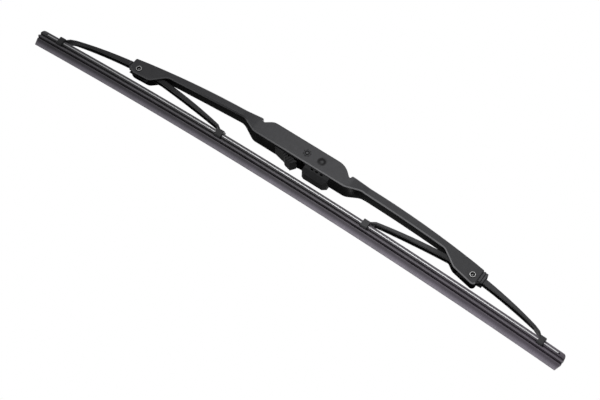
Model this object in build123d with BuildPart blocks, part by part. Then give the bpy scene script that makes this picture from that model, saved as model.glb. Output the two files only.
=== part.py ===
"""Framed wiper blade, 381 mm (15 in), with a hook adapter on a cross pin.

Frame: origin on the cross pin's axis, +X along the blade, +Z away from the glass.
"""
import os
from math import cos, degrees, sin

from build123d import *

# Driving dimensions, in millimetres.
mid_x = 1.0                 # the yokes' middle, along X from the pin
blade_length = 381.0        # rubber, end to end along its curve
rubber_shift = 0.6          # the rubber's middle, along its curve from the yokes' middle
bow_radius = 3700.0         # curve of the rubber's crown
crown_z = -15.8             # top of the crown at mid length
rubber_height = 11.1
rubber_end_radius = 3.2
lip_height = 4.35
lip_setback = 1.0           # slant of the lip's ends
slot_length = blade_length - 8.0
slot_height = 0.9
slot_low = 8.0              # above the lip's edge
slot_root = 0.9             # half of the web between the slots
flexor_length = slot_length - 1.4
flexor_width = 1.9
flexor_thickness = slot_height - 0.1

bridge_sheet = 0.8
bridge_end = 5.2            # beyond each pivot
centre_half = 6.3           # half widths of the channel
arm_half = 4.5
cheek_half = 3.6
roof_edge = 0.6             # chamfer along the roofs' bends
shoulder_left = -48.0       # where the arms start to taper
shoulder_right = 44.0
roof_left = -35.5           # ends of the two roofs at the open centre
roof_right = 31.3
ear_top = 6.5
ear_bottom = -5.95

pivot_half = 121.8          # middle to each pivot
pivot_z = -9.8
rivet_radius = 1.5
rivet_head_radius = 1.95
rivet_head_height = 0.5
running_clearance = 0.05

liner_sheet = 0.5
liner_length = 13.5         # inside the bridge's end
liner_bottom = -12.3
collar_gap = 0.4
collar_flange = 1.1
collar_groove = 0.5         # between the collar's two flanges
collar_half = 3.5
collar_corner = 0.6
right_collar = (-3.7, -11.3)    # top and bottom
left_collar = (-7.3, -10.6)

yoke_sheet = 0.8
yoke_half = 2.1             # at the pivot
yoke_peak = -5.75
yoke_cheek_low = -12.2
claw_sheet = 0.8
claw_half = 4.1
claw_low = 6.3              # underside of the fingers above the lip's edge
claw_top = rubber_height + 0.15 + claw_sheet
finger_tip = 2.0
inner_claw = 53.4           # places along the rubber's curve
inner_claw_length = 4.4
outer_claw = 174.8
outer_claw_length = 3.6

pin_radius = 2.1
pin_proud = 0.12
dimple_x = 10.4
dimple_radius = 2.8
dimple_floor = 1.3          # radius at the bottom
dimple_depth = 0.55

adapter_half = 5.2
adapter_wall = 0.6          # leaves 9.2 mm between the walls for a 9 x 3 mm hook
core_half_height = 4.0
nose_x = 8.4
tongue_half = 4.2
tongue_top = -7.3
foot_top = -7.6
foot_low = -11.6
foot_left = 3.4
foot_right = 20.6

bow_centre = crown_z - bow_radius
bridge_half = pivot_half + bridge_end
left_taper = (arm_half - cheek_half) / (bridge_half + shoulder_left)
right_taper = (arm_half - cheek_half) / (bridge_half - shoulder_right)
rivet_seat = cheek_half + left_taper * (bridge_half - pivot_half + mid_x + rivet_head_radius)
blade_side = Plane(origin=(mid_x, 0, 0), x_dir=(1, 0, 0), z_dir=(0, -1, 0))
blade_plan = Plane(origin=(mid_x, 0, 0))
mid_plane = Plane.YZ.offset(mid_x)


def on_bow(s):
    """Section plane at length s along the crown: y is up from the lip's edge."""
    a = s / bow_radius
    r = bow_radius - rubber_height
    return Plane(
        origin=(mid_x + r * sin(a), 0, bow_centre + r * cos(a)),
        x_dir=(0, 1, 0),
        z_dir=(cos(a), 0, -sin(a)),
    )


def bow_sweep(length, mode=Mode.ADD):
    """Turn the pending section through the rubber's curve."""
    revolve(
        axis=Axis((mid_x, 0, bow_centre), (0, 1, 0)),
        revolution_arc=degrees(length / bow_radius),
        mode=mode,
    )


def claw_roof(s):
    """Height of a claw's top at length s along the crown."""
    return bow_centre + (bow_radius - rubber_height + claw_top) * cos(s / bow_radius)


def corners(sketch, points):
    """The vertices of a sketch nearest the given points."""
    return ShapeList(
        min(sketch.vertices(), key=lambda v: (v.X - x) ** 2 + (v.Y - y) ** 2) for x, y in points
    )


def bowed(start, end, rise):
    """Three points of an arc, its middle raised above the chord."""
    return [start, ((start[0] + end[0]) / 2, (start[1] + end[1]) / 2 + rise), end]


def channel_plan(stations, inset=0.0):
    """Plan outline from (x, half width) stations, symmetric about X."""
    near = [(x, inset - w) for x, w in stations]
    far = [(x, w - inset) for x, w in reversed(stations)]
    with BuildSketch() as plan:
        Polygon(*near, *far, align=None)
        fillet(corners(plan, near[1:-1] + far[1:-1]), 6.0)
    return plan.sketch


# The rubber: crown, flexor slots, claw groove, shoulder, neck and lip on one curve.
rubber_section = [
    (0.35, 0.0), (1.15, 3.0), (1.45, 4.05), (0.5, lip_height), (0.5, 4.75), (2.9, 5.0),
    (2.9, 6.0), (1.5, 6.2), (1.5, 7.3), (2.6, 7.45), (2.6, 9.9), (1.8, rubber_height),
]
with BuildPart() as wiper_rubber:
    with BuildSketch(on_bow(rubber_shift - blade_length / 2)):
        Polygon(*rubber_section, *[(-y, z) for y, z in reversed(rubber_section)], align=None)
    bow_sweep(blade_length)
    with BuildSketch(on_bow(rubber_shift - slot_length / 2)):
        with Locations((-slot_root - 2, slot_low + slot_height / 2), (slot_root + 2, slot_low + slot_height / 2)):
            Rectangle(4, slot_height)
    bow_sweep(slot_length, Mode.SUBTRACT)
    for side in (-1, 1):
        end = on_bow(rubber_shift + side * blade_length / 2)
        crown_corner = Plane(origin=end.origin, x_dir=side * end.z_dir, z_dir=(0, -side, 0))
        with BuildSketch(crown_corner):
            with BuildLine():
                start = (0, rubber_height - rubber_end_radius)
                RadiusArc(start, (-rubber_end_radius, rubber_height), -rubber_end_radius)
                Polyline((-rubber_end_radius, rubber_height), (-rubber_end_radius, 14), (2, 14), (2, start[1]), start)
            make_face()
            Polygon((0, lip_height), (2, lip_height), (2, 0), (-lip_setback, 0), align=None)
        extrude(amount=5, both=True, mode=Mode.SUBTRACT)

# The two spring strips in the slots.
with BuildPart() as front_flexor:
    with BuildSketch(on_bow(rubber_shift - flexor_length / 2)):
        with Locations((-slot_root - flexor_width / 2, slot_low + flexor_thickness / 2)):
            Rectangle(flexor_width, flexor_thickness)
    bow_sweep(flexor_length)
with BuildPart() as rear_flexor:
    mirror(front_flexor.part, about=Plane.XZ)

# The main bridge: a pressed channel, open at the centre, roofed along both arms.
bridge_stations = [
    (-bridge_half, cheek_half), (shoulder_left, arm_half), (shoulder_left + 11, centre_half),
    (shoulder_right - 11, centre_half), (shoulder_right, arm_half), (bridge_half, cheek_half),
]
left_roof = bowed((-bridge_half, -4.2), (roof_left, 4.85), 1.82)
right_roof = bowed((roof_right, 2.9), (bridge_half, -3.2), 2.01)


def lowered(points, drop):
    return [(x, z - drop) for x, z in points]


def bridge_cavity(inset):
    """The space inside the channel, open below, at the ends and at the centre."""
    overrun = 20
    reach = bridge_half + overrun
    ends = [(-reach, cheek_half - overrun * left_taper), (reach, cheek_half - overrun * right_taper)]
    stations = [ends[0], *bridge_stations[1:-1], ends[1]]
    with BuildPart() as cavity:
        with BuildSketch(Plane.XZ):
            with BuildLine():
                left = ThreePointArc(*lowered(left_roof, inset))
                right = ThreePointArc(*lowered(right_roof, inset))
                Polyline(left @ 1, (roof_left, 20), (roof_right, 20), right @ 0)
                Polyline(
                    right @ 1, (reach, right_roof[2][1] - inset), (reach, -40),
                    (-reach, -40), (-reach, left_roof[0][1] - inset), left @ 0,
                )
            make_face()
        extrude(amount=10, both=True)
        with BuildSketch():
            add(channel_plan(stations, inset))
        extrude(amount=60, both=True, mode=Mode.INTERSECT)
    return cavity.part


with BuildPart() as main_bridge:
    with BuildSketch(Plane.XZ) as side_view:
        ear = [
            (roof_left + 2.1, 2.8), (roof_left + 6.9, ear_top), (roof_right - 7.8, ear_top), (roof_right - 1.5, 0.9),
        ]
        right_cheek = [
            (bridge_half, pivot_z - 5.6), (pivot_half - 10.8, pivot_z - 2.1), (pivot_half - 21.2, pivot_z + 5.2),
        ]
        left_cheek = [
            (-bridge_half, pivot_z - 4.15), (10.9 - pivot_half, pivot_z - 3.1), (19.6 - pivot_half, pivot_z + 5.2),
        ]
        knee = [(shoulder_right - 3.7, -2.0), (shoulder_left + 1.7, -0.5)]
        waist = [(roof_right - 0.1, ear_bottom), (roof_left - 0.5, ear_bottom)]
        with BuildLine():
            left = ThreePointArc(*left_roof)
            right = ThreePointArc(*right_roof)
            Polyline(left @ 1, (roof_left + 0.6, 2.8), *ear, (roof_right - 0.6, 0.9), right @ 0)
            Polyline(right @ 1, *right_cheek)
            ThreePointArc(*bowed(right_cheek[2], knee[0], 0.45))
            Polyline(knee[0], *waist, knee[1])
            ThreePointArc(*bowed(knee[1], left_cheek[2], 0.1))
            Polyline(*left_cheek[::-1], left @ 0)
        make_face()
        fillet(corners(side_view, [ear[1]]), 7.0)
        fillet(corners(side_view, [ear[2]]), 12.0)
        fillet(corners(side_view, knee + waist), 8.0)
        fillet(corners(side_view, right_cheek[1:] + left_cheek[1:]), 5.0)
        fillet(corners(side_view, right_cheek[:1]), 2.2)
        fillet(corners(side_view, left_cheek[:1]), 5.5)
        fillet(corners(side_view, [ear[0], ear[3], left_roof[0], right_roof[2]]), 0.9)
    extrude(amount=10, both=True)
    with BuildSketch():
        add(channel_plan(bridge_stations))
    extrude(amount=60, both=True, mode=Mode.INTERSECT)
    roofs = main_bridge.faces().filter_by(GeomType.CYLINDER).sort_by(SortBy.AREA)[-2:]
    chamfer([e for f in roofs for e in f.edges() if abs(e.center().Y) > cheek_half / 2], roof_edge)
    add(bridge_cavity(bridge_sheet), mode=Mode.SUBTRACT)
    with BuildSketch(Plane.XZ):
        Circle(pin_radius)
        with Locations((mid_x - pivot_half, pivot_z), (mid_x + pivot_half, pivot_z)):
            Circle(rivet_radius)
    extrude(amount=10, both=True, mode=Mode.SUBTRACT)
    for turn in (1, -1):
        outer_face = Plane(origin=(dimple_x, -turn * centre_half, -0.2), x_dir=(turn, 0, 0), z_dir=(0, -turn, 0))
        with Locations(outer_face):
            Cone(
                dimple_floor, dimple_radius, dimple_depth,
                align=(Align.CENTER, Align.CENTER, Align.MAX), mode=Mode.SUBTRACT,
            )

# The right yoke: an inverted channel that narrows to a strip and a claw at each end.
yoke_stations = [
    (inner_claw - 13.4, 2.5), (inner_claw + 6.6, 2.5), (pivot_half - 13.8, yoke_half),
    (pivot_half + 14.2, yoke_half), (outer_claw - 8.5, 2.5), (outer_claw + 14.5, 2.5),
]
foot_in = claw_roof(inner_claw)
foot_out = claw_roof(outer_claw)


def arm_in(reach, rise):
    """A point of the inner arm: reach 0 at the pivot and 1 at the claw, rise 0 at the claw's top."""
    return (pivot_half - reach * (pivot_half - inner_claw), foot_in + rise * (yoke_peak - foot_in))


def arm_out(reach, rise):
    """The same on the outer arm."""
    return (pivot_half + reach * (outer_claw - pivot_half), foot_out + rise * (yoke_peak - foot_out))


yoke_ridge = [
    [arm_in(0.937, 0.24), arm_in(0.639, 0.625), arm_in(0.274, 0.925)],
    [arm_in(0.274, 0.925), arm_in(0.1, 0.995), arm_out(0.153, 0.91)],
    [arm_out(0.153, 0.91), arm_out(0.51, 0.64), arm_out(0.86, 0.27)],
]
toe_in = [arm_in(1.02, 0.0), arm_in(0.985, 0.0)]
toe_out = [arm_out(0.93, 0.15), arm_out(0.965, 0.015), arm_out(1.02, 0.0)]


def yoke_cavity():
    """The space inside the yoke's channel, open below."""
    with BuildPart() as cavity:
        with BuildSketch(blade_side):
            with BuildLine():
                arcs = [ThreePointArc(*lowered(span, yoke_sheet)) for span in yoke_ridge]
                first, last = arcs[0] @ 0, arcs[-1] @ 1
                Polyline(last, (last.X, -40), (first.X, -40), first)
            make_face()
        extrude(amount=10, both=True)
        with BuildSketch(blade_plan):
            add(channel_plan(yoke_stations, yoke_sheet))
        extrude(amount=60, both=True, mode=Mode.INTERSECT)
    return cavity.part


with BuildPart() as right_yoke:
    with BuildSketch(blade_side) as yoke_side:
        cheek = [
            (pivot_half + 6.5, pivot_z - 0.4), (pivot_half + 4.2, yoke_cheek_low),
            (pivot_half - 4.2, yoke_cheek_low), (pivot_half - 7.5, pivot_z + 0.1),
        ]
        with BuildLine():
            for span in yoke_ridge:
                ThreePointArc(*span)
            outer_low = ThreePointArc(arm_out(0.864, 0.185), arm_out(0.564, 0.425), arm_out(0.22, 0.62))
            inner_low = ThreePointArc(arm_in(0.245, 0.625), arm_in(0.582, 0.41), arm_in(0.918, 0.115))
            Polyline(
                yoke_ridge[-1][-1], *toe_out, *lowered(toe_out[:0:-1], claw_sheet), arm_out(0.92, 0.07),
                outer_low @ 0,
            )
            Polyline(outer_low @ 1, *cheek, inner_low @ 0)
            Polyline(
                inner_low @ 1, arm_in(0.95, 0.02), *lowered(toe_in[::-1], claw_sheet), *toe_in, yoke_ridge[0][0]
            )
        make_face()
        fillet(corners(yoke_side, cheek), 2.0)
    extrude(amount=10, both=True)
    with BuildSketch(blade_plan):
        add(channel_plan(yoke_stations))
    extrude(amount=60, both=True, mode=Mode.INTERSECT)
    add(yoke_cavity(), mode=Mode.SUBTRACT)
    for place, length, free_end in ((inner_claw, inner_claw_length, -1), (outer_claw, outer_claw_length, 1)):
        with BuildSketch(on_bow(place - length / 2)):
            with Locations((0, (claw_low + claw_top) / 2)):
                RectangleRounded(2 * claw_half, claw_top - claw_low, 1.1)
                RectangleRounded(
                    2 * (claw_half - claw_sheet), claw_top - claw_low - 2 * claw_sheet, 0.35, mode=Mode.SUBTRACT
                )
            with Locations((0, claw_low)):
                Rectangle(2 * finger_tip, 4 * claw_sheet, mode=Mode.SUBTRACT)
        extrude(amount=length)
        with BuildSketch(on_bow(place + free_end * (length / 2 - 0.9) - 0.9)):
            with Locations((0, claw_top)):
                RectangleRounded(2.6, 1.6, 0.7)
        extrude(amount=1.8)
    with BuildSketch(blade_side):
        with Locations((pivot_half, pivot_z)):
            Circle(rivet_radius + running_clearance)
    extrude(amount=10, both=True, mode=Mode.SUBTRACT)
with BuildPart() as left_yoke:
    mirror(right_yoke.part, about=mid_plane)


# The plastic saddles that line the bridge's ends, each with a flanged collar outside it.
def pivot_liner(side, collar, flange_trims):
    """A saddle at the right (1) or left (-1) end, fitted to the channel there, with one flange for each trim."""
    inner_end = bridge_half - liner_length
    first_flange = bridge_half + collar_gap
    pitch = collar_flange + collar_groove
    flanges = [(first_flange + pitch * step, trim) for step, trim in enumerate(flange_trims)]
    outer_end = flanges[-1][0] + collar_flange
    collar_top, collar_bottom = collar
    with BuildPart() as liner:
        add(bridge_cavity(bridge_sheet))
        with BuildSketch(Plane.XZ):
            with Locations((side * (bridge_half + inner_end) / 2, liner_bottom)):
                Rectangle(liner_length, 30, align=(Align.CENTER, Align.MIN))
            with Locations((side * (bridge_half + outer_end) / 2, collar_bottom)):
                Rectangle(outer_end - bridge_half, collar_top - collar_bottom, align=(Align.CENTER, Align.MIN))
        extrude(amount=10, both=True, mode=Mode.INTERSECT)
        for flange, trim in flanges:
            with BuildSketch(Plane.YZ.offset(side * flange)):
                with Locations((0, (collar_top + collar_bottom) / 2)):
                    RectangleRounded(2 * (collar_half - trim), collar_top - collar_bottom - 2 * trim, collar_corner)
            extrude(amount=side * collar_flange)
        add(bridge_cavity(bridge_sheet + liner_sheet), mode=Mode.SUBTRACT)
        with BuildSketch(blade_side):
            with Locations((side * pivot_half, pivot_z)):
                Circle(rivet_radius)
        extrude(amount=10, both=True, mode=Mode.SUBTRACT)
    return liner.part


with BuildPart() as right_pivot_liner:
    add(pivot_liner(1, right_collar, (0.0, 0.2)))
with BuildPart() as left_pivot_liner:
    add(pivot_liner(-1, left_collar, (0.0,)))

# The pivot rivets: a shank with a rolled ring at each end.
with BuildPart() as right_pivot_rivet:
    rivet_x = mid_x + pivot_half
    head = rivet_seat + rivet_head_height
    with BuildSketch(Plane(origin=(rivet_x, 0, pivot_z))):
        Polygon(
            (0, 0), (rivet_radius, 0), (rivet_radius, rivet_seat), (rivet_head_radius, rivet_seat),
            (rivet_head_radius - 0.2, head), (1.3, head), (1.1, rivet_seat - 0.1), (0, rivet_seat - 0.1), align=None,
        )
    revolve(axis=Axis((rivet_x, 0, pivot_z), (0, 1, 0)))
    mirror(about=Plane.XZ)
with BuildPart() as left_pivot_rivet:
    mirror(right_pivot_rivet.part, about=mid_plane)

# The cross pin, its ends rolled over flush with the walls.
with BuildPart() as adapter_pin:
    rim = centre_half + pin_proud
    with BuildSketch():
        Polygon(
            (0, 0), (pin_radius, 0), (pin_radius, rim), (1.6, rim), (1.45, rim - 0.45), (0.95, rim - 0.45),
            (0.8, rim - 0.05), (0, rim - 0.05), align=None,
        )
    revolve(axis=Axis.Y)
    mirror(about=Plane.XZ)


# The hook adapter: two walls round the hook, a core inside it, a sprung tongue and a foot below it.
def adapter_foot():
    """The foot that joins the two walls below the hook, with sides that draw in."""
    with BuildPart() as foot:
        with BuildSketch(Plane.XZ):
            Polygon(
                (foot_left, foot_top), (foot_right, foot_top), (foot_right, foot_top - 1), (foot_right - 1.8, foot_low),
                (foot_left + 2, foot_low), (foot_left, foot_low + 1.2), align=None,
            )
        extrude(amount=adapter_half, both=True)
        with BuildSketch(Plane.YZ):
            Polygon(
                (-adapter_half, foot_top), (adapter_half, foot_top), (adapter_half, foot_top - 0.8), (2.9, foot_low),
                (-2.9, foot_low), (-adapter_half, foot_top - 0.8), align=None,
            )
        extrude(amount=40, both=True, mode=Mode.INTERSECT)
    return foot.part


with BuildPart() as arm_adapter:
    with BuildSketch(Plane.XZ) as wall_side:
        wall = [
            (-12.0, -6.4), (foot_left, -6.4), (foot_left, foot_top), (foot_right, foot_top), (foot_right, -4.5),
            (14.5, 3.4), (12.0, 5.2), (-9.5, 5.2), (-12.0, 2.8),
        ]
        Polygon(*wall, align=None)
        fillet(corners(wall_side, wall[:1] + wall[4:]), 1.2)
    extrude(amount=adapter_half, both=True)
    with BuildSketch(Plane.XZ):
        Rectangle(80, 40)
    extrude(amount=adapter_half - adapter_wall, both=True, mode=Mode.SUBTRACT)
    with BuildSketch(Plane.XZ):
        with BuildLine():
            nose = ThreePointArc((nose_x, core_half_height), (nose_x + core_half_height, 0), (nose_x, -core_half_height))
            Polyline(nose @ 1, (-11.5, -core_half_height), (-11.5, core_half_height), nose @ 0)
        make_face()
    extrude(amount=adapter_half - adapter_wall, both=True)
    with BuildSketch(Plane.XZ):
        Polygon(
            (-13.5, core_half_height), (-9.0, core_half_height), (-9.0, tongue_top), (-2.5, tongue_top), (-2.9, -8.2),
            (-5.0, -11.0), (-9.4, -9.9), (-11.2, -8.3), (-19.0, -6.5), (-19.0, -5.4), (-15.8, 1.6), align=None,
        )
        Polygon((-8.2, tongue_top), (-8.2, tongue_top + 0.9), (-6.0, tongue_top + 0.9), (-4.2, tongue_top), align=None)
    extrude(amount=tongue_half, both=True)
    for face in (tongue_half, -tongue_half):
        with BuildSketch(Plane.XZ.offset(face)):
            with Locations(*[(-12.4 + 1.7 * step, -8.4 - 0.35 * step) for step in range(5)]):
                Rectangle(0.7, 4.6, rotation=-20)
        extrude(amount=-0.35 if face > 0 else 0.35, mode=Mode.SUBTRACT)
    add(adapter_foot())
    with BuildSketch(Plane.XZ):
        Circle(pin_radius + running_clearance)
        with Locations((0, -core_half_height)):
            Rectangle(3.4, 2 * core_half_height - 1)
        with Locations(*[(8.4 + 3.4 * step, foot_top + 0.5) for step in range(3)]):
            Rectangle(1.8, 1.0)
    extrude(amount=10, both=True, mode=Mode.SUBTRACT)

pieces = {
    "main_bridge": main_bridge,
    "left_yoke": left_yoke,
    "right_yoke": right_yoke,
    "left_pivot_rivet": left_pivot_rivet,
    "right_pivot_rivet": right_pivot_rivet,
    "left_pivot_liner": left_pivot_liner,
    "right_pivot_liner": right_pivot_liner,
    "wiper_rubber": wiper_rubber,
    "front_flexor": front_flexor,
    "rear_flexor": rear_flexor,
    "arm_adapter": arm_adapter,
    "adapter_pin": adapter_pin,
}
os.makedirs("parts", exist_ok=True)
for name, piece in pieces.items():
    piece.part.label = name
    export_step(piece.part, f"parts/{name}.step")
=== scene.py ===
"""Framed wiper blade seen from below against white."""
import math

import bmesh
import bpy
from mathutils import Matrix, Vector


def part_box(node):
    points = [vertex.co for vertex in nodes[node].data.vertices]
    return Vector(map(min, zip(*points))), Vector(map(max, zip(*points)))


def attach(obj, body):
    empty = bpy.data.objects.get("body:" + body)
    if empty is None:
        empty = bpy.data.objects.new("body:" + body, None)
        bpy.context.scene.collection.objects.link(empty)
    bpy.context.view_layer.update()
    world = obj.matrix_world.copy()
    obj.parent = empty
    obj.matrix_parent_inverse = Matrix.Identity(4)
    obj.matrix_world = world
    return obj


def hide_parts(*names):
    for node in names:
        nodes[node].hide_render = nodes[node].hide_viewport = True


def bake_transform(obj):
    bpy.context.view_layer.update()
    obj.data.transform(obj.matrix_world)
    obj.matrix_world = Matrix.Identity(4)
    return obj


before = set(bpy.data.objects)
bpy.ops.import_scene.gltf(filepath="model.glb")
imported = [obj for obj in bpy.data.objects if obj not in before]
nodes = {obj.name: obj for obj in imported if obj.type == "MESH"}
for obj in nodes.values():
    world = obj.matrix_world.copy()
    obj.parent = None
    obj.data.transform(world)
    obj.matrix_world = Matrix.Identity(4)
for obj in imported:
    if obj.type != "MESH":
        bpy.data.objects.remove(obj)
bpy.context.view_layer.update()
scene = bpy.context.scene
scene.view_settings.view_transform = "Standard"

MM = 0.001
cut_tolerance = 0.001 * MM
merge_distance = 0.002 * MM

# The rubber's curve and section, in millimetres.
mid_x = (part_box("left_pivot_rivet")[0][0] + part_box("right_pivot_rivet")[1][0]) / 2 / MM
rubber_shift = 0.6
blade_length = 381.0
bow_radius = 3700.0
bow_steps = 72
crown_z = -15.8
bow_centre = crown_z - bow_radius
rubber_height = 11.1
rubber_half_length = blade_length / 2 - 0.05
end_radius = 3.2
end_facet_lift = 0.04
end_facet_leans = (18.0, 36.0, 54.0, 72.0)
lip_height = 4.6
lip_setback = 1.0
crown_half = 2.6
slot_low, slot_high, slot_root = 8.5, 9.4, 0.9
slot_half_length = blade_length / 2 - 4.0
slot_end_slope = 0.15
flexor_half_length = slot_half_length - 0.7
flexor_width, flexor_thickness = 1.9, 0.8
flexor_edge = 0.12

# Places on the pressings, and the reaches of the painted light and shade on them, in millimetres.
pivot_half = 121.8
pivot_z = -9.8
rivet_reach, pin_reach = 2.0, 2.2
dimple_x, dimple_z = 10.4, -0.2
gap_shade_breaks = 7
gap_shade_reach, dimple_reach = 4.0, 4.0
arm_reach = 80.0
shadow_length = 40.0
inside_length = 280.0


def on_bow(along, height):
    """A point of the middle plane, in metres: along the curve from mid length, up from the lip's edge."""
    turn = along / bow_radius
    reach = bow_radius - rubber_height + height
    return Vector((mid_x + reach * math.sin(turn), 0.0, bow_centre + reach * math.cos(turn))) * MM


def bow_tangent(along):
    turn = along / bow_radius
    return Vector((math.cos(turn), 0.0, -math.sin(turn)))


def end_along(side, half_length):
    """How far along the curve a strip that rides with the rubber ends."""
    return side * half_length + rubber_shift


# Ways of picking and finishing that every modelled piece shares.
def start_piece(name, add_primitive, **size):
    """Add a primitive with nothing else selected, put its place in its mesh and open it for editing."""
    bpy.ops.object.select_all(action="DESELECT")
    add_primitive(**size)
    piece = bpy.context.object
    piece.name = name
    piece.data.name = name
    bpy.ops.object.transform_apply(location=True, rotation=True, scale=True)
    bpy.ops.object.mode_set(mode="EDIT")
    return piece


def pick_points(piece, passes):
    bpy.ops.mesh.select_mode(type="VERT")
    bpy.ops.mesh.select_all(action="DESELECT")
    mesh = bmesh.from_edit_mesh(piece.data)
    for point in mesh.verts:
        point.select_set(bool(passes(point.co)))
    mesh.select_flush_mode()
    bmesh.update_edit_mesh(piece.data)


def pick_faces(piece, passes):
    bpy.ops.mesh.select_mode(type="FACE")
    bpy.ops.mesh.select_all(action="DESELECT")
    mesh = bmesh.from_edit_mesh(piece.data)
    for face in mesh.faces:
        face.select_set(bool(passes(face.calc_center_median(), face.normal)))
    mesh.select_flush_mode()
    bmesh.update_edit_mesh(piece.data)


def trim(place, outward):
    """Cut the whole piece at a plane and close the cut."""
    bpy.ops.mesh.select_all(action="SELECT")
    bpy.ops.mesh.bisect(
        plane_co=place, plane_no=outward, use_fill=True, clear_outer=True, threshold=cut_tolerance
    )


def finish_piece(piece, smooth_angle=35.0):
    """Merge doubles, turn the faces outwards and shade by angle."""
    bpy.ops.mesh.select_all(action="SELECT")
    bpy.ops.mesh.remove_doubles(threshold=merge_distance)
    bpy.ops.mesh.normals_make_consistent(inside=False)
    bpy.ops.object.mode_set(mode="OBJECT")
    bpy.ops.object.shade_smooth_by_angle(angle=math.radians(smooth_angle))


# Rubber and spring strips: half a blade each, spun along the curve from the middle to an end.
def keep_unbent(piece):
    """Store each point's place at rest, so that a pattern stays on the surface when the piece bends."""
    unbent = piece.data.attributes.new("unbent_place", "FLOAT_VECTOR", "POINT")
    for point in piece.data.vertices:
        unbent.data[point.index].vector = point.co


def stand_section(name, rows):
    """A section at mid length, stacked from (half width, height) rows, left open for editing."""
    (half, low), (half_up, high) = rows[:2]
    middle = on_bow(0.0, (low + high) / 2)
    piece = start_piece(
        name, bpy.ops.mesh.primitive_plane_add, size=2 * half * MM,
        location=middle, rotation=(0.0, math.pi / 2, 0.0),
    )
    bpy.ops.transform.resize(value=(1.0, 1.0, (high - low) / (2 * half)), center_override=middle)
    pick_points(piece, lambda co: co.z > middle.z)
    bpy.ops.transform.resize(value=(1.0, half_up / half, 1.0), center_override=on_bow(0.0, high))
    for (half, low), (half_up, high) in zip(rows[1:], rows[2:]):
        bpy.ops.mesh.extrude_region_move(TRANSFORM_OT_translate={"value": (0.0, 0.0, (high - low) * MM)})
        bpy.ops.transform.resize(value=(1.0, half_up / half, 1.0), center_override=on_bow(0.0, high))
    return piece


def spin_along_bow(along):
    bpy.ops.mesh.select_all(action="SELECT")
    bpy.ops.mesh.spin(
        steps=bow_steps, angle=-along / bow_radius,
        center=Vector((mid_x, 0.0, bow_centre)) * MM, axis=(0.0, 1.0, 0.0),
    )


def lengthen(side, along, amount):
    """Draw the picked end on by an amount along the curve's tangent."""
    bpy.ops.mesh.extrude_region_move(
        TRANSFORM_OT_translate={"value": bow_tangent(along) * side * amount * MM}
    )


# From the lip's edge up: lip, neck, shoulder, claw groove, crown with its slots.
rubber_rows = [
    (0.28, 0.0), (0.36, 0.12), (1.15, 3.1), (1.42, 4.0), (1.47, 4.3), (1.38, 4.45), (0.55, lip_height),
    (0.5, 4.67), (0.5, 4.9), (0.6, 4.97),
    (2.7, 5.15), (2.86, 5.2), (2.9, 5.32), (2.9, 6.05), (2.86, 6.15), (2.7, 6.2),
    (1.6, 6.28), (1.5, 6.36), (1.5, 7.45), (1.62, 7.54),
    (2.45, 7.66), (crown_half, 7.84), (crown_half, slot_low),
    (slot_root, slot_low + 0.02), (slot_root, slot_high - 0.02),
    (crown_half, slot_high), (crown_half, 10.0), (2.5, 10.3), (2.25, 10.67), (1.95, 10.93),
    (1.55, rubber_height),
]


def rubber_half(name, side):
    """Half of the rubber: crown with its slots, claw groove, shoulder, neck and lip, and its rounded end."""
    piece = stand_section(name, rubber_rows)
    slot_end = end_along(side, slot_half_length)
    web_end = on_bow(slot_end, slot_low)

    def past_slot(co):
        return (co - web_end).dot(bow_tangent(slot_end)) * side

    spin_along_bow(slot_end)
    lengthen(side, slot_end, slot_end_slope)
    pick_points(
        piece,
        lambda co: past_slot(co) > slot_end_slope / 3 * MM and abs(abs(co.y) - slot_root * MM) < 0.01 * MM,
    )
    bpy.ops.transform.resize(value=(1.0, crown_half / slot_root, 1.0), center_override=web_end)
    pick_faces(piece, lambda centre, normal: past_slot(centre) > (slot_end_slope - 0.01) * MM)
    lengthen(side, slot_end, rubber_half_length - slot_half_length - slot_end_slope)

    end = end_along(side, rubber_half_length)
    outward = bow_tangent(end) * side
    upward = on_bow(end, 1.0) - on_bow(end, 0.0)
    upward.normalize()
    corner = on_bow(end, rubber_height - end_radius) - outward * end_radius * MM
    for lean in end_facet_leans:
        facing = outward * math.cos(math.radians(lean)) + upward * math.sin(math.radians(lean))
        trim(corner + facing * (end_radius + end_facet_lift) * MM, facing)
    slant = outward * lip_height - upward * lip_setback
    trim(on_bow(end, lip_height), slant.normalized())
    finish_piece(piece)
    keep_unbent(piece)
    return piece


def flexor_half(name, side, face):
    """Half of a spring strip in the front (-1) or rear (1) slot."""
    rows = [(flexor_width / 2, slot_low), (flexor_width / 2, slot_low + flexor_thickness)]
    piece = stand_section(name, rows)
    bpy.ops.mesh.select_all(action="SELECT")
    bpy.ops.transform.translate(value=(0.0, face * (slot_root + flexor_width / 2) * MM, 0.0))
    spin_along_bow(end_along(side, flexor_half_length))
    finish_piece(piece)
    edge = piece.modifiers.new("dressed_edge", "BEVEL")
    edge.width = flexor_edge * MM
    edge.segments = 2
    edge.limit_method = "ANGLE"
    edge.angle_limit = math.radians(60)
    bpy.ops.object.modifier_apply(modifier=edge.name)
    keep_unbent(piece)
    return piece


# Pivot rivets: a shank whose ends are rolled into a ring round a punched hollow.
rivet_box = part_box("right_pivot_rivet")
rivet_radius = 1.5
ring_radius = (rivet_box[1][0] - rivet_box[0][0]) / 2 / MM
rivet_half = (rivet_box[1][1] - rivet_box[0][1]) / 2 / MM
ring_height = 0.5
rivet_seat = rivet_half - ring_height

# Radius and rise over the seat: out under the ring, over it, down into the hollow and up to its middle.
ring_turns = [
    (ring_radius - 0.05, 0.0), (ring_radius, 0.12), (ring_radius - 0.03, 0.3), (ring_radius - 0.2, 0.46),
    (1.55, ring_height), (1.38, 0.46), (1.22, 0.28),
    (1.12, -0.3), (0.55, -0.34), (0.42, -0.05), (0.28, 0.0),
]


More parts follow.
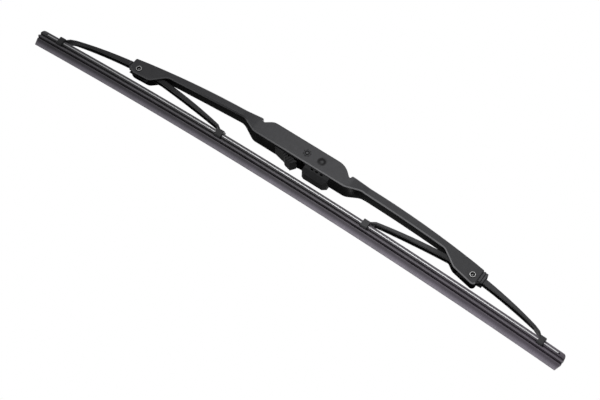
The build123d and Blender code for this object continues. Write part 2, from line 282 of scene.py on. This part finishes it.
def rivet(name, node):
    low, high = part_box(node)
    centre = (Vector(low) + Vector(high)) / 2
    piece = start_piece(
        name, bpy.ops.mesh.primitive_cylinder_add, vertices=48, radius=rivet_radius * MM,
        depth=2 * rivet_seat * MM, location=centre, rotation=(math.pi / 2, 0.0, 0.0),
    )
    for face in (-1, 1):
        pick_faces(piece, lambda at, normal: normal.y * face > 0.9 and at.y * face > 0.0)
        radius, reach = rivet_radius, rivet_seat
        for step, rise in ring_turns:
            bpy.ops.mesh.extrude_region_move(
                TRANSFORM_OT_translate={"value": (0.0, face * (rivet_seat + rise - reach) * MM, 0.0)}
            )
            bpy.ops.transform.resize(
                value=(step / radius, 1.0, step / radius),
                center_override=centre + Vector((0.0, face * (rivet_seat + rise) * MM, 0.0)),
            )
            radius, reach = step, rivet_seat + rise
    finish_piece(piece, 50.0)
    return piece


# Finishes.
def new_finish(name, roughness, specular, metallic=0.0, bends=False):
    """A material with its shader's plain values set, and the place on the piece in millimetres."""
    finish = bpy.data.materials.new(name)
    finish.use_nodes = True
    tree = finish.node_tree
    shader = tree.nodes["Principled BSDF"]
    shader.inputs["Roughness"].default_value = roughness
    shader.inputs["Specular IOR Level"].default_value = specular
    shader.inputs["Metallic"].default_value = metallic
    if bends:
        stored = tree.nodes.new("ShaderNodeAttribute")
        stored.attribute_name = "unbent_place"
        place = stored.outputs["Vector"]
    else:
        place = tree.nodes.new("ShaderNodeTexCoord").outputs["Object"]
    in_mm = tree.nodes.new("ShaderNodeVectorMath")
    in_mm.operation = "SCALE"
    in_mm.inputs["Scale"].default_value = 1 / MM
    tree.links.new(place, in_mm.inputs[0])
    return finish, tree, shader, in_mm.outputs[0]


def math_node(tree, operation, *values, clamp=False):
    node = tree.nodes.new("ShaderNodeMath")
    node.operation = operation
    node.use_clamp = clamp
    for socket, value in zip(node.inputs, values):
        if isinstance(value, (int, float)):
            socket.default_value = value
        else:
            tree.links.new(value, socket)
    return node.outputs[0]


def split(tree, vector):
    node = tree.nodes.new("ShaderNodeSeparateXYZ")
    tree.links.new(vector, node.inputs[0])
    return node.outputs


def surface_facing(tree):
    """The direction that the surface faces on the piece itself, split in three."""
    return split(tree, tree.nodes.new("ShaderNodeTexCoord").outputs["Normal"])


def stretched(tree, vector, factors):
    node = tree.nodes.new("ShaderNodeVectorMath")
    node.operation = "MULTIPLY"
    tree.links.new(vector, node.inputs[0])
    node.inputs[1].default_value = factors
    return node.outputs[0]


def noise(tree, vector, scale, detail=2.0, roughness=0.5):
    node = tree.nodes.new("ShaderNodeTexNoise")
    node.inputs["Scale"].default_value = scale
    node.inputs["Detail"].default_value = detail
    node.inputs["Roughness"].default_value = roughness
    tree.links.new(vector, node.inputs["Vector"])
    return node.outputs["Fac"]


def ramp(tree, factor, stops):
    node = tree.nodes.new("ShaderNodeValToRGB")
    tree.links.new(factor, node.inputs[0])
    elements = node.color_ramp.elements
    while len(elements) < len(stops):
        elements.new(0.5)
    for element, (position, colour) in zip(elements, stops):
        element.position = position
        element.color = (*colour, 1.0)
    return node.outputs["Color"]


def grey_ramp(tree, factor, stops):
    return ramp(tree, factor, [(position, (level, level, level)) for position, level in stops])


def mix_colour(tree, factor, a, b, blend_type="MIX"):
    node = tree.nodes.new("ShaderNodeMix")
    node.data_type = "RGBA"
    node.blend_type = blend_type
    for socket, value in ((node.inputs["Factor"], factor), (node.inputs["A"], a), (node.inputs["B"], b)):
        if isinstance(value, (int, float)):
            socket.default_value = value
        elif isinstance(value, tuple):
            socket.default_value = (*value, 1.0)
        else:
            tree.links.new(value, socket)
    return node.outputs["Result"]


def toned(tree, a, b):
    """One colour multiplied by another."""
    return mix_colour(tree, 1.0, a, b, "MULTIPLY")


def bump(tree, shader, height, strength, distance, normal=None):
    node = tree.nodes.new("ShaderNodeBump")
    node.inputs["Strength"].default_value = strength
    node.inputs["Distance"].default_value = distance * MM
    tree.links.new(height, node.inputs["Height"])
    if normal is not None:
        tree.links.new(normal, node.inputs["Normal"])
    tree.links.new(node.outputs[0], shader.inputs["Normal"])


def off_axis(tree, x, z, centre_x, centre_z):
    """Distance from an axis across the blade, in millimetres."""
    aside = math_node(tree, "SUBTRACT", x, centre_x)
    above = math_node(tree, "SUBTRACT", z, centre_z)
    return math_node(tree, "SQRT", math_node(
        tree, "ADD", math_node(tree, "MULTIPLY", aside, aside), math_node(tree, "MULTIPLY", above, above)
    ))


def share_along(tree, place):
    """How far a place is from the blade's left end, as a share of its length."""
    x = split(tree, place)[0]
    return math_node(tree, "MULTIPLY_ADD", x, 1 / blade_length, 0.5 - mid_x / blade_length)


def rounded_edge(tree, radius):
    node = tree.nodes.new("ShaderNodeBevel")
    node.samples = 6
    node.inputs["Radius"].default_value = radius * MM
    return node.outputs[0]


# Painted shade on the inner faces along the blade, from left to right: near black by the pivots and at the
# middle, lighter along the arms.
inner_shade = 0.012
bridge_inside = [
    (0.11, inner_shade), (0.15, 0.065), (0.33, 0.065), (0.39, inner_shade),
    (0.61, inner_shade), (0.67, 0.11), (0.84, 0.11), (0.9, inner_shade),
]
yoke_inside = [(0.0, inner_shade), (1.0, inner_shade)]


def black_stove_paint(name, tone, bend, inside):
    """Black stoved paint on pressed sheet with a bend radius, and painted shade on the inner faces along the
    blade.
    """
    finish, tree, shader, place = new_finish(name, 0.38, 0.1)
    x, y, _ = split(tree, place)
    mottle = noise(tree, place, 0.35, 3.0, 0.6)
    body = ramp(tree, mottle, [(0.3, tuple(0.93 * t for t in tone)), (0.7, tuple(1.07 * t for t in tone))])
    outward = math_node(tree, "MULTIPLY", surface_facing(tree)[1], y)
    inward = math_node(tree, "MULTIPLY", outward, -1.0, clamp=True)
    # Painted shade: faces turned inwards take the inside tones along the blade.
    inner = grey_ramp(tree, math_node(tree, "MULTIPLY_ADD", x, 1 / inside_length, 0.5), inside)
    body = mix_colour(tree, inward, body, inner)
    bump(tree, shader, noise(tree, place, 5.0, 2.0), 0.05, 0.02, rounded_edge(tree, bend))
    return finish, tree, shader, place, body


def yoke_paint(name, tone):
    """A yoke's paint, with a painted shadow on the inner arm where it enters the bridge."""
    finish, tree, shader, place, body = black_stove_paint(name, tone, 0.8, yoke_inside)
    # Painted shadow on the inner arm near the pivot, where the bridge's arm shades it.
    from_middle = math_node(tree, "ABSOLUTE", math_node(tree, "SUBTRACT", split(tree, place)[0], mid_x))
    past_pivot = math_node(tree, "SUBTRACT", pivot_half, from_middle)
    entered = math_node(tree, "DIVIDE", past_pivot, shadow_length, clamp=True)
    painted_shadow = grey_ramp(tree, entered, [(0.0, 1.0), (0.1, 0.4), (0.55, 0.4), (0.85, 1.0)])
    tree.links.new(toned(tree, body, painted_shadow), shader.inputs["Base Color"])
    return finish


def bridge_paint():
    """The bridge's paint: painted shade in a broken ring round the pin, arms painted darker than the middle,
    painted shade in the dimple and a painted highlight on the near wall's lower edges.
    """
    finish, tree, shader, place, body = black_stove_paint(
        "bridge_paint", (0.057, 0.057, 0.0605), 0.25, bridge_inside
    )
    x, y, z = split(tree, place)

    # Painted shade in the gap round the pin, broken into dashes.
    ring = math_node(tree, "DIVIDE", off_axis(tree, x, z, 0.0, 0.0), gap_shade_reach, clamp=True)
    groove = grey_ramp(tree, ring, [(0.47, 0.0), (0.53, 1.0), (0.61, 1.0), (0.67, 0.0)])
    turn = math_node(tree, "MULTIPLY", math_node(tree, "ARCTAN2", z, x), gap_shade_breaks)
    marks = math_node(tree, "MULTIPLY_ADD", math_node(tree, "SINE", turn), 2.0, 0.6, clamp=True)
    pin_gap_shade = math_node(tree, "MULTIPLY", groove, marks, clamp=True)
    body = mix_colour(tree, pin_gap_shade, body, (0.01, 0.01, 0.01))

    from_pin = math_node(tree, "ABSOLUTE", x)
    # Painted shade: the arms darker than the middle.
    outlying = math_node(tree, "DIVIDE", from_pin, arm_reach, clamp=True)
    body = toned(tree, body, grey_ramp(tree, outlying, [(0.38, 1.0), (0.58, 0.8)]))

    # Painted shade in the dimple, darker on its upper side.
    from_dimple = off_axis(tree, x, z, dimple_x + 0.25, dimple_z + 0.6)
    dimple_shade = grey_ramp(tree, math_node(tree, "DIVIDE", from_dimple, dimple_reach, clamp=True), [
        (0.15, 0.8), (0.32, 0.22), (0.5, 0.25), (0.68, 0.6), (0.82, 1.0),
    ])
    body = toned(tree, body, dimple_shade)

    # Painted highlight along the near wall's lower edges, brighter to the right.
    facing = surface_facing(tree)
    cut = math_node(tree, "MULTIPLY_ADD", math_node(tree, "ABSOLUTE", facing[1]), -6.0, 5.4, clamp=True)
    down = math_node(tree, "MULTIPLY_ADD", facing[2], -5.0, -0.5, clamp=True)
    span = math_node(tree, "MULTIPLY_ADD", from_pin, -0.043, 1.5)
    low = math_node(tree, "SUBTRACT", span, z, clamp=True)
    near = math_node(tree, "LESS_THAN", y, 0.0)
    brighter_rightward = math_node(tree, "MAXIMUM", math_node(tree, "MULTIPLY_ADD", x, 0.015, 1.0, clamp=True), 0.35)
    near_lower_edge = math_node(tree, "MULTIPLY", math_node(tree, "MULTIPLY", low, near), brighter_rightward)
    edge_highlight = math_node(tree, "MULTIPLY", math_node(tree, "MULTIPLY", down, cut), near_lower_edge)
    tree.links.new(mix_colour(tree, edge_highlight, body, (0.26, 0.26, 0.267)), shader.inputs["Base Color"])
    return finish


def moulded_black(name, tone):
    """Black moulded plastic with a fine spark-eroded grain; faces turned neither front nor rear are painted
    near black as shade.
    """
    finish, tree, shader, place = new_finish(name, 0.55, 0.05)
    body = ramp(tree, noise(tree, place, 0.5, 2.0), [(0.3, tone), (0.7, tuple(1.25 * t for t in tone))])
    # Painted shade: faces turned away from front and rear go near black.
    sideways = math_node(tree, "ABSOLUTE", surface_facing(tree)[1])
    across = math_node(tree, "MULTIPLY_ADD", sideways, 2.4, -0.6, clamp=True)
    tree.links.new(mix_colour(tree, across, (0.005, 0.005, 0.005), body), shader.inputs["Base Color"])
    bump(tree, shader, noise(tree, place, 4.0, 3.0), 0.2, 0.03, rounded_edge(tree, 0.2))
    return finish


def wiping_rubber():
    """Rubber coloured by height: pale at the lip's edge and darker up the lip, partly a paler edge and partly
    painted light, with painted shade in the neck and the claw groove and painted light on the shoulder and
    crown; paler towards the right as painted light.
    """
    finish, tree, shader, place = new_finish("wiping_rubber", 0.55, 0.25, bends=True)
    from_centre = tree.nodes.new("ShaderNodeVectorMath")
    from_centre.operation = "SUBTRACT"
    tree.links.new(place, from_centre.inputs[0])
    from_centre.inputs[1].default_value = (mid_x, 0.0, bow_centre)
    reach = tree.nodes.new("ShaderNodeVectorMath")
    reach.operation = "LENGTH"
    tree.links.new(stretched(tree, from_centre.outputs[0], (1.0, 0.0, 1.0)), reach.inputs[0])
    height = math_node(tree, "SUBTRACT", reach.outputs["Value"], bow_radius - rubber_height)
    share = math_node(tree, "DIVIDE", height, rubber_height, clamp=True)
    # By height: painted shade in the neck and the claw groove, painted light on the shoulder and crown, pale
    # lip edge partly painted light.
    body = ramp(tree, share, [
        (0.0, (0.27, 0.262, 0.284)), (0.07, (0.232, 0.225, 0.246)), (0.115, (0.205, 0.198, 0.219)),
        (0.165, (0.143, 0.138, 0.154)), (0.215, (0.092, 0.088, 0.1)), (0.26, (0.054, 0.052, 0.058)),
        (0.32, (0.05, 0.048, 0.053)), (0.385, (0.095, 0.091, 0.098)), (0.41, (0.03, 0.029, 0.031)),
        (0.462, (0.03, 0.029, 0.031)), (0.472, (0.095, 0.093, 0.098)), (0.56, (0.095, 0.093, 0.098)),
        (0.6, (0.08, 0.079, 0.082)), (0.63, (0.04, 0.04, 0.041)), (0.766, (0.035, 0.035, 0.036)),
        (0.847, (0.07, 0.069, 0.072)), (1.0, (0.06, 0.06, 0.062)),
    ])
    # Painted light: the rubber paler towards the right.
    rightward_light = ramp(tree, share_along(tree, place), [
        (0.0, (0.0, 0.0, 0.0)), (0.5, (0.005, 0.004, 0.005)), (0.75, (0.026, 0.021, 0.027)),
        (0.95, (0.042, 0.034, 0.045)),
    ])
    body = mix_colour(tree, 1.0, body, rightward_light, "ADD")
    streaks = noise(tree, stretched(tree, place, (1.0, 0.3, 0.12)), 3.0, 3.0, 0.6)
    body = toned(tree, body, grey_ramp(tree, streaks, [(0.25, 0.82), (0.75, 1.15)]))
    patches = ramp(tree, noise(tree, place, 0.08, 2.0), [(0.35, (0.94, 0.91, 0.95)), (0.65, (1.1, 1.05, 1.12))])
    tree.links.new(toned(tree, body, patches), shader.inputs["Base Color"])
    bump(tree, shader, noise(tree, place, 6.0, 2.0), 0.12, 0.03)
    return finish


def spring_steel():
    """Bright rolled strip, drawn along its length, with a painted sheen that grows towards the right."""
    finish, tree, shader, place = new_finish("spring_steel", 0.42, 0.5, 1.0, bends=True)
    drawn = noise(tree, stretched(tree, place, (0.05, 6.0, 6.0)), 1.5, 3.0)
    tone = ramp(tree, drawn, [(0.3, (0.16, 0.16, 0.163)), (0.7, (0.22, 0.22, 0.223))])
    # Painted reflection: the strip brighter towards the right.
    rightward_sheen = grey_ramp(tree, share_along(tree, place), [(0.0, 1.1), (0.5, 1.2), (1.0, 1.6)])
    tree.links.new(toned(tree, tone, rightward_sheen), shader.inputs["Base Color"])
    bump(tree, shader, drawn, 0.1, 0.02)
    return finish


def rolled_steel():
    """Plated rivet steel: lighter on the rolled ring and at the middle of the hollow, dark in the punched
    hollow and round the ring's foot.
    """
    finish, tree, shader, place = new_finish("rolled_steel", 0.36, 0.5, 1.0)
    x, _, z = split(tree, place)
    from_middle = math_node(tree, "ABSOLUTE", math_node(tree, "SUBTRACT", x, mid_x))
    from_axis = off_axis(tree, from_middle, z, pivot_half, pivot_z)
    share = math_node(tree, "DIVIDE", from_axis, rivet_reach, clamp=True)
    # Dark in the hollow and round the ring's foot, lighter on the ring and at the hollow's middle.
    bright = grey_ramp(tree, share, [
        (0.0, 0.22), (0.16, 0.2), (0.24, 0.012), (0.7, 0.012), (0.75, 0.36), (0.84, 0.36), (0.9, 0.025),
    ])
    wear = noise(tree, place, 3.0, 2.0)
    dull = grey_ramp(tree, wear, [(0.3, 0.8), (0.7, 1.0)])
    tree.links.new(toned(tree, bright, dull), shader.inputs["Base Color"])
    bump(tree, shader, wear, 0.1, 0.02)
    return finish


def painted_pin():
    """The pin's painted ends: painted shade in a ring and round the edge, painted highlights on the centre and
    on the rim between.
    """
    finish, tree, shader, place = new_finish("painted_pin", 0.42, 0.1)
    x, _, z = split(tree, place)
    share = math_node(tree, "DIVIDE", off_axis(tree, x, z, 0.0, 0.0), pin_reach, clamp=True)
    # Painted shade in the ring and round the edge, painted highlights on the centre and the rim.
    tone = ramp(tree, share, [
        (0.0, (0.1, 0.1, 0.104)), (0.3, (0.08, 0.08, 0.084)), (0.42, (0.014, 0.014, 0.015)),
        (0.66, (0.014, 0.014, 0.015)), (0.74, (0.058, 0.058, 0.062)), (0.86, (0.058, 0.058, 0.062)),
        (0.93, (0.02, 0.02, 0.022)),
    ])
    wear = noise(tree, place, 2.5, 2.0)
    dull = grey_ramp(tree, wear, [(0.3, 0.75), (0.7, 1.2)])
    tree.links.new(toned(tree, tone, dull), shader.inputs["Base Color"])
    bump(tree, shader, wear, 0.1, 0.02)
    return finish


def put_on(piece, finish):
    piece.data.materials.clear()
    piece.data.materials.append(finish)


put_on(nodes["main_bridge"], bridge_paint())
# The left yoke's paint is darker than the right's: painted shade for the light falling off to the left.
put_on(nodes["left_yoke"], yoke_paint("left_yoke_paint", (0.03, 0.03, 0.0315)))
put_on(nodes["right_yoke"], yoke_paint("right_yoke_paint", (0.048, 0.048, 0.0505)))
put_on(nodes["arm_adapter"], moulded_black("adapter_plastic", (0.023, 0.023, 0.024)))
collar_plastic = moulded_black("collar_plastic", (0.07, 0.07, 0.073))
for name in ("left_pivot_liner", "right_pivot_liner"):
    put_on(nodes[name], collar_plastic)
put_on(nodes["adapter_pin"], painted_pin())

rubber = wiping_rubber()
strip_steel = spring_steel()
plated_steel = rolled_steel()
for side, name, body in ((-1, "left", "yoke_left"), (1, "right", "yoke_right")):
    soft_pieces = [(rubber_half(f"{name}_rubber_half", side), rubber, "wiper_rubber", "blade_rubber")]
    for face, strip in ((-1, "front"), (1, "rear")):
        soft_pieces.append((
            flexor_half(f"{name}_{strip}_strip", side, face), strip_steel, f"{strip}_flexor", "spring_steel"
        ))
    for piece, finish, node, slot in soft_pieces:
        put_on(piece, finish)
        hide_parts(node)
        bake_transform(piece)
    ring = rivet(f"{name}_rolled_rivet", f"{name}_pivot_rivet")
    put_on(ring, plated_steel)
    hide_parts(f"{name}_pivot_rivet")
    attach(ring, "bridge")

# The camera: below the blade, turned so that the blade runs down to the right.
photo_width, photo_height = 600.0, 400.0
optical_centre = (284.68, 192.42)
focal_pixels = 1427.89
sensor_width = 36.0
look_at = Vector((2.8, 0.0, -27.0)) * MM
azimuth, elevation, roll = math.radians(18.0), math.radians(-24.0), math.radians(39.55)
distance = 847.98 * MM
back = Vector((
    math.sin(azimuth) * math.cos(elevation),
    -math.cos(azimuth) * math.cos(elevation),
    math.sin(elevation),
))
level = Vector((math.cos(azimuth), math.sin(azimuth), 0.0))
upward = back.cross(level)
right = level * math.cos(roll) + upward * math.sin(roll)
top = upward * math.cos(roll) - level * math.sin(roll)
camera_data = bpy.data.cameras.new("photo_camera")
camera = bpy.data.objects.new("photo_camera", camera_data)
scene.collection.objects.link(camera)
camera.matrix_world = Matrix.Translation(look_at + back * distance) @ Matrix(
    (right, top, back)
).transposed().to_4x4()
camera_data.sensor_width = sensor_width
camera_data.lens = focal_pixels * sensor_width / photo_width
camera_data.shift_x = (photo_width / 2 - optical_centre[0]) / photo_width
camera_data.shift_y = (optical_centre[1] - photo_height / 2) / photo_width
camera_data.clip_start = 0.01
scene.camera = camera

# Studio, in metres: a narrow soft box in front, wide ones behind and overhead, a white surround and a pale
# floor, which lies low enough to leave the view from below free.
surround_strength = 0.36
floor_size, floor_z = 100.0, -1.5
surround_white, floor_white = 1.0, 0.6


def soft_box(name, place, aim, size, power, spread):
    """A square soft box at a place, turned to its aim, with a grid that narrows it to a spread in degrees."""
    lamp_data = bpy.data.lights.new(name, "AREA")
    lamp_data.shape = "RECTANGLE"
    lamp_data.size = size
    lamp_data.size_y = size
    lamp_data.energy = power
    lamp_data.spread = math.radians(spread)
    lamp = bpy.data.objects.new(name, lamp_data)
    scene.collection.objects.link(lamp)
    lamp.location = place
    lamp.rotation_euler = (Vector(place) - Vector(aim)).to_track_quat("Z", "Y").to_euler()


soft_box("front_soft_box", (-0.2, -0.92, 0.2), (0.075, 0.0, -0.02), 0.28, 0.15, 26.0)
soft_box("back_soft_box", (-0.1, 0.95, 0.45), (0.0, 0.0, 0.0), 0.6, 5.0, 180.0)
soft_box("top_soft_box", (0.0, 0.1, 1.3), (0.0, 0.1, 0.0), 1.6, 10.0, 180.0)


def show_white(tree, plain, surface, white_kind, share):
    """A share of plain white for the lens, for gloss and through glass; the plain shader otherwise."""
    rays = tree.nodes.new("ShaderNodeLightPath").outputs
    seen = math_node(tree, "MAXIMUM", rays["Is Camera Ray"], math_node(
        tree, "MAXIMUM", rays["Is Glossy Ray"], rays["Is Transmission Ray"]
    ))
    white = tree.nodes.new(white_kind)
    white.inputs["Color"].default_value = (1.0, 1.0, 1.0, 1.0)
    mixer = tree.nodes.new("ShaderNodeMixShader")
    tree.links.new(math_node(tree, "MULTIPLY", seen, share), mixer.inputs[0])
    tree.links.new(plain, mixer.inputs[1])
    tree.links.new(white.outputs[0], mixer.inputs[2])
    tree.links.new(mixer.outputs[0], surface)


world = bpy.data.worlds.new("white_surround")
scene.world = world
world.use_nodes = True
surround = world.node_tree.nodes["Background"]
surround.inputs["Color"].default_value = (1.0, 1.0, 1.0, 1.0)
surround.inputs["Strength"].default_value = surround_strength
show_white(
    world.node_tree, surround.outputs[0], world.node_tree.nodes["World Output"].inputs["Surface"],
    "ShaderNodeBackground", surround_white,
)

bpy.ops.object.select_all(action="DESELECT")
bpy.ops.mesh.primitive_plane_add(size=floor_size, location=(0.0, 0.0, floor_z))
floor = bpy.context.object
floor.name = "pale_floor"
floor_finish, floor_tree, floor_shader, floor_place = new_finish("pale_floor", 0.8, 0.1)
floor_tone = grey_ramp(floor_tree, noise(floor_tree, floor_place, 0.02), [(0.3, 0.8), (0.7, 0.82)])
floor_tree.links.new(floor_tone, floor_shader.inputs["Base Color"])
show_white(
    floor_tree, floor_shader.outputs[0], floor_tree.nodes["Material Output"].inputs["Surface"],
    "ShaderNodeEmission", floor_white,
)
put_on(floor, floor_finish)
